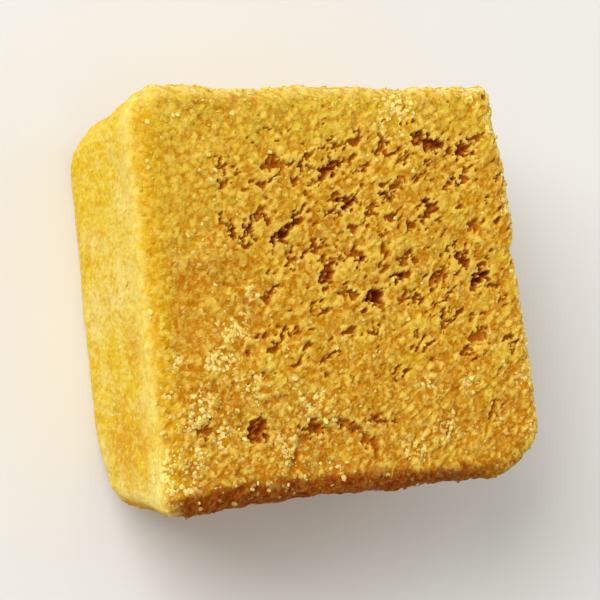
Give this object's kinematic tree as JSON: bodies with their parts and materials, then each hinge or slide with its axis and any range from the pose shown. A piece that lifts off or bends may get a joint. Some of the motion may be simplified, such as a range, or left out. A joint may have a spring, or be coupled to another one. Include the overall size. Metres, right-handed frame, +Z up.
{
  "type": "mysore pak",
  "caption": "Thick square block of crumbly gram-flour sweet, lying flat: porous tan face on top, smoother yellow cut sides that curve in to a smaller flat underside.",
  "frame": {"origin": "middle of the flat underside that the block rests on", "axes": "+Z up, out of the porous face; +Y to the far edge of that face and +X to its right edge, as the picture shows it, so the smooth yellow cut side is at -X"},
  "size_m": [0.0501, 0.051, 0.0265],
  "materials": {
    "sweet": "dry, granular, slightly waxy crumb: tan and porous on the face, bright yellow on the cut sides"
  },
  "bodies": {
    "root": {"sweet_block": "sweet"}
  },
  "joints": []
}
